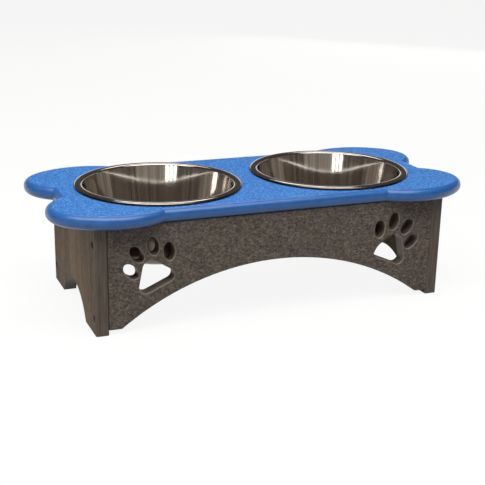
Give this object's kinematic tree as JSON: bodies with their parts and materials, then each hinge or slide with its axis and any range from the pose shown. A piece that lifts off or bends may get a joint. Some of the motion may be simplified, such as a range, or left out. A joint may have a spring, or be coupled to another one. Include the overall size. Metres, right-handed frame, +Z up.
{
  "type": "elevated pet feeder",
  "caption": "Raised pet feeding station: a bone-shaped plastic-lumber board on an arched base with paw cut-outs holds lift-out stainless steel bowls for food and water.",
  "frame": {"origin": "on the floor under the middle of the feeder", "axes": "+X along the length, to the right as seen from the front; -Y is the front; +Z up"},
  "size_m": [0.6518, 0.3064, 0.1815],
  "materials": {
    "blue_board": "fine-grained satin",
    "grey_board": "grained matte",
    "bowl_steel": "polished",
    "screw_steel": "coated"
  },
  "bodies": {
    "stand": {"top_board": "blue_board", "front_panel": "grey_board", "back_panel": "grey_board", "left_end_panel": "grey_board", "right_end_panel": "grey_board", "left_front_corner_screws": "screw_steel", "left_back_corner_screws": "screw_steel", "right_front_corner_screws": "screw_steel", "right_back_corner_screws": "screw_steel", "front_pocket_screws": "screw_steel", "back_pocket_screws": "screw_steel", "left_pocket_screws": "screw_steel", "right_pocket_screws": "screw_steel"},
    "bowl_at_left": {"left_bowl": "bowl_steel"},
    "bowl_at_right": {"right_bowl": "bowl_steel"}
  },
  "joints": [
    {"name": "left_bowl_lift", "type": "slide", "parent": "stand", "child": "bowl_at_left", "axis": [0, 0, 1], "range_m": [0, 0.12]},
    {"name": "right_bowl_lift", "type": "slide", "parent": "stand", "child": "bowl_at_right", "axis": [0, 0, 1], "range_m": [0, 0.12]}
  ]
}
